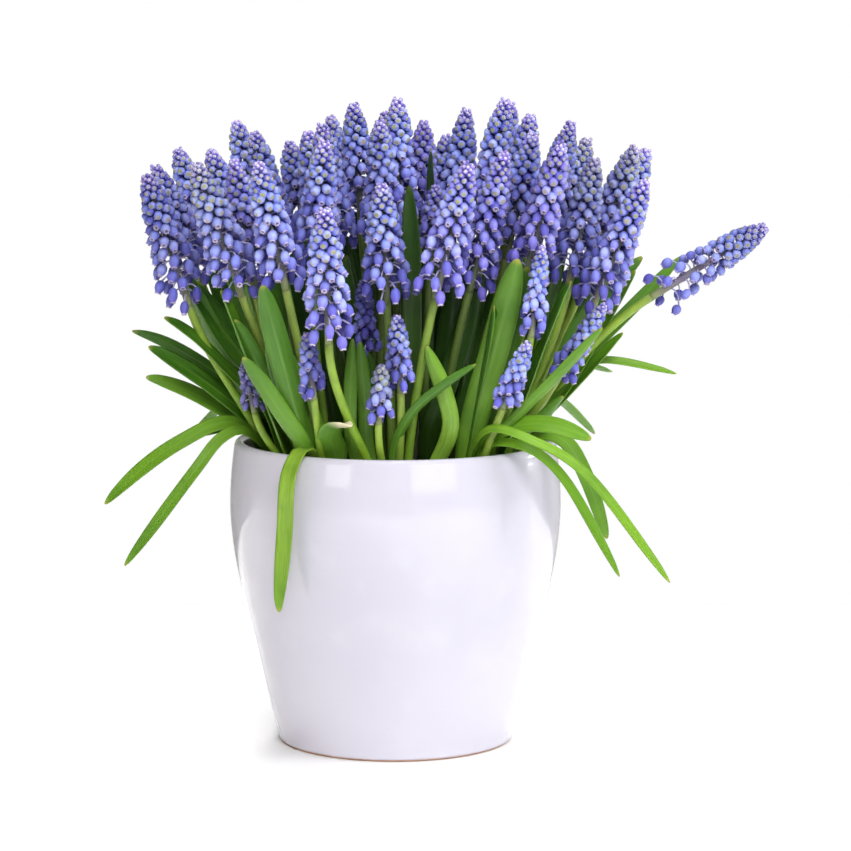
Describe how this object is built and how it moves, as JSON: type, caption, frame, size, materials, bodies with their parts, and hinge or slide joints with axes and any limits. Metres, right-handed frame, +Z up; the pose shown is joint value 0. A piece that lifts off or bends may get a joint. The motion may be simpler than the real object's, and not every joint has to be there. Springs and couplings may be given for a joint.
{
  "type": "potted grape hyacinth",
  "caption": "Grape hyacinths in flower in a white glazed pot: blue spikes of bead-like florets above arching strap leaves, planted in soil.",
  "frame": {"origin": "centre of the pot's flat underside, on the surface that it stands on", "axes": "+Z up out of the pot, -Y towards the front of the arrangement, +X towards the side with the long leaning stem"},
  "size_m": [0.275, 0.2175, 0.272],
  "materials": {
    "glaze": "glossy white glaze with a faint lilac tint",
    "soil": "matte crumbly potting soil",
    "leaf": "satin fresh leaf",
    "floret": "satin waxy petal"
  },
  "bodies": {
    "root": {"pot": "glaze", "soil": "soil", "plant_01": "leaf", "plant_02": "leaf", "plant_03": "leaf", "plant_04": "leaf", "plant_05": "leaf", "plant_06": "leaf", "plant_07": "leaf", "plant_08": "leaf", "plant_09": "leaf", "plant_10": "leaf", "plant_11": "leaf", "flower_head_01": "floret", "flower_head_02": "floret", "flower_head_03": "floret", "flower_head_04": "floret", "flower_head_05": "floret", "flower_head_06": "floret", "flower_head_07": "floret", "flower_head_08": "floret", "flower_head_09": "floret", "flower_head_10": "floret", "flower_head_11": "floret", "flower_head_12": "floret", "flower_head_13": "floret", "flower_head_14": "floret", "flower_head_15": "floret", "flower_head_16": "floret", "flower_head_17": "floret", "flower_head_18": "floret", "flower_head_19": "floret", "flower_head_20": "floret", "flower_head_21": "floret", "flower_head_22": "floret", "flower_head_23": "floret", "flower_head_24": "floret", "flower_head_25": "floret", "flower_head_26": "floret", "flower_head_27": "floret", "flower_head_28": "floret", "flower_head_29": "floret", "flower_head_30": "floret", "flower_head_31": "floret", "flower_head_32": "floret", "flower_head_33": "floret", "flower_head_34": "floret", "flower_head_35": "floret", "flower_head_36": "floret", "flower_head_37": "floret", "flower_head_38": "floret", "flower_head_39": "floret", "flower_head_40": "floret", "flower_head_41": "floret", "flower_head_42": "floret", "flower_head_43": "floret", "flower_head_44": "floret", "flower_head_45": "floret", "flower_head_46": "floret", "flower_head_47": "floret"}
  },
  "joints": []
}
